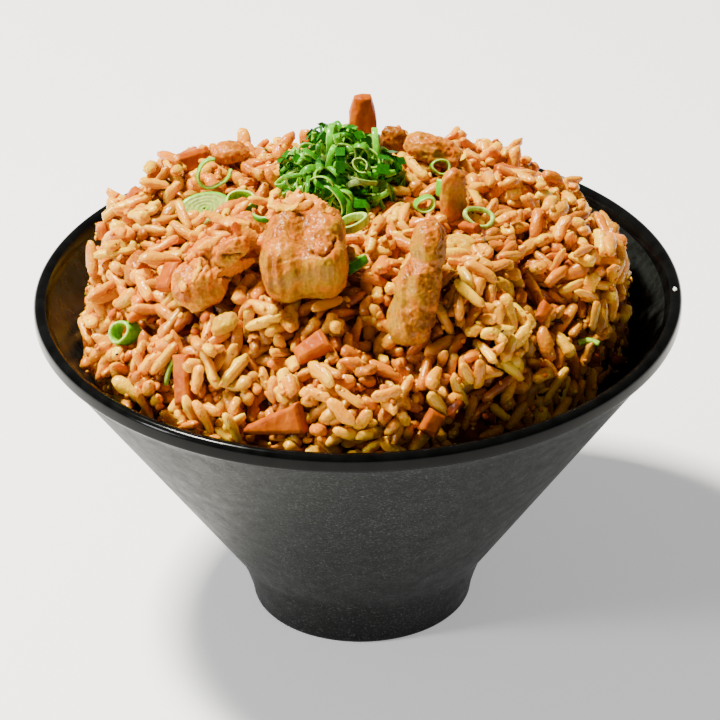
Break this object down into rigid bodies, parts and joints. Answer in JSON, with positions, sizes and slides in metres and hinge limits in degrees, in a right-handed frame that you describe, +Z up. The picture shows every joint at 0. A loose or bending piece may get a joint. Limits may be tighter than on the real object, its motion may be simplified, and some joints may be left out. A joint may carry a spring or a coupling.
{
  "type": "fried rice bowl",
  "caption": "Deep conical dark bowl filled with a heap of fried rice, topped with chicken, carrot, egg and a mound of sliced spring onion.",
  "frame": {"origin": "centre of the foot's underside", "axes": "+Z up; the bowl's front, as pictured, faces -Y"},
  "size_m": [0.15, 0.15, 0.1212],
  "materials": {
    "bowl_glaze": "satin black glaze with fine pale specks, glossy band at the lip",
    "rice": "moist, slightly glossy grains from cream to golden brown",
    "chicken": "browned, oily, with paler flesh at the edges",
    "carrot": "moist orange",
    "egg": "soft yellow curd",
    "onion_green": "fresh glossy green",
    "onion_pale": "pale green, moist"
  },
  "bodies": {
    "root": {"bowl": "bowl_glaze", "carrot_back_left": "carrot", "carrot_back_right": "carrot", "carrot_front_right": "carrot", "carrot_front_wedge": "carrot", "carrot_left_baton": "carrot", "carrot_left_side": "carrot", "carrot_middle_dice": "carrot", "carrot_right": "carrot", "carrot_shred": "carrot", "carrot_top_left": "carrot", "carrot_top_right": "carrot", "carrot_upright": "carrot", "chicken_back_left": "chicken", "chicken_behind_carrot": "chicken", "chicken_chunk": "chicken", "chicken_crisp_slab": "chicken", "chicken_left": "chicken", "chicken_right_slice": "chicken", "chicken_shredded": "chicken", "chicken_top_right": "chicken", "egg_far_right": "egg", "egg_left": "egg", "egg_middle": "egg", "egg_right": "egg", "fried_rice": "rice", "onion_curl": "onion_green", "onion_curl_right": "onion_pale", "onion_end_back": "onion_green", "onion_end_middle": "onion_green", "onion_end_right": "onion_green", "onion_hook": "onion_green", "onion_mound": "onion_green", "onion_ring_bright": "onion_green", "onion_ring_dark": "onion_green", "onion_ring_left": "onion_green", "onion_slice_front": "onion_pale", "onion_slice_oval": "onion_pale", "onion_strip_left": "onion_green", "onion_strip_right": "onion_green"}
  },
  "joints": []
}
